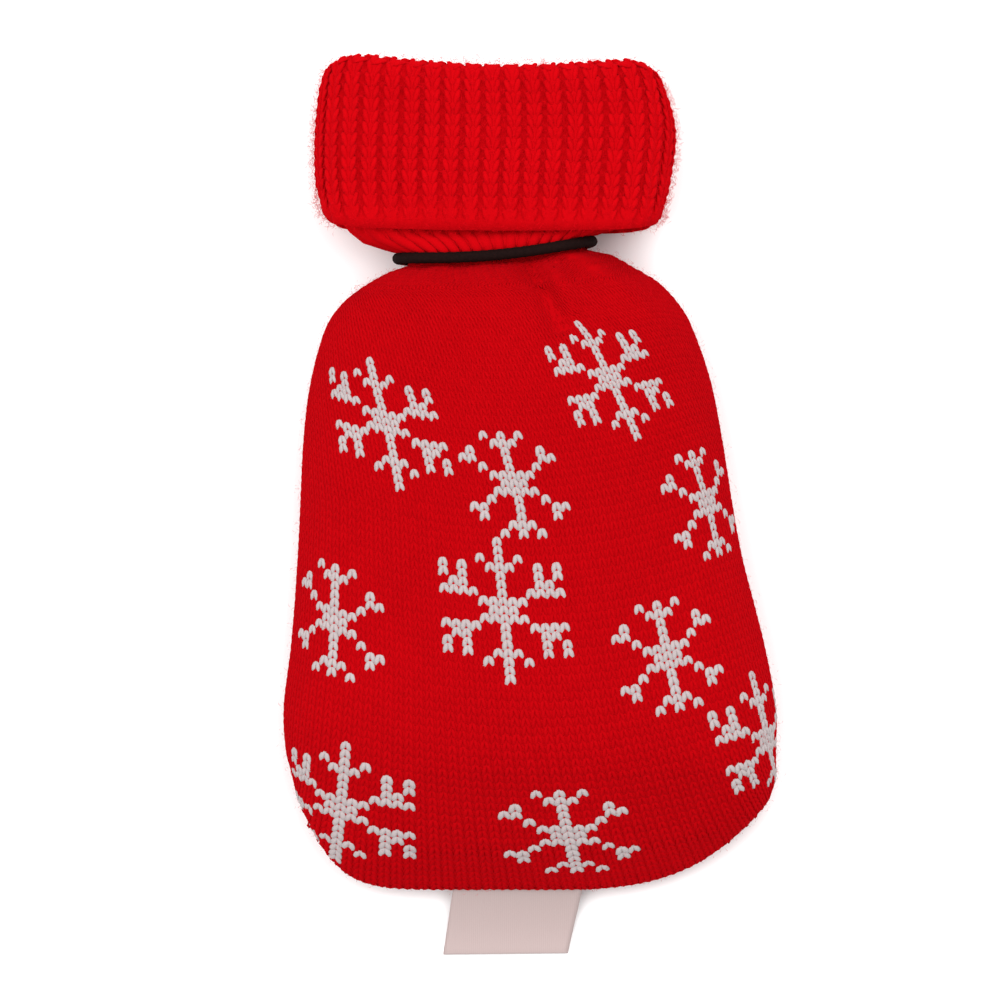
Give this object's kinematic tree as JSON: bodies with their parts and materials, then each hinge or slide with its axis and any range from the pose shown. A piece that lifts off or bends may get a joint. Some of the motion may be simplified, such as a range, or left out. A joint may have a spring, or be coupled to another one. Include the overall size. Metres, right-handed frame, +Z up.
{
  "type": "knitted hot water bottle cover",
  "caption": "Small knitted hot water bottle cover: hollow gathered bag lying on its back, turned-down ribbed roll collar, elastic neck cord and sewn-in label.",
  "frame": {"origin": "middle of the bounding box on the surface that the cover lies on", "axes": "+Z up from the surface, +Y along the cover towards its collar, +X across it, to the right seen from above with the collar at the top"},
  "size_m": [0.0883, 0.1611, 0.0269],
  "materials": {
    "red_knit": "soft red acrylic yarn, knitted, with white snowflakes knitted in",
    "red_rib": "soft red acrylic yarn, ribbed and slightly fuzzy",
    "black_elastic": "braided, dull",
    "white_ribbon": "smooth woven satin"
  },
  "bodies": {
    "root": {"bag": "red_knit", "collar": "red_rib", "neck_cord": "black_elastic", "label": "white_ribbon"}
  },
  "joints": []
}
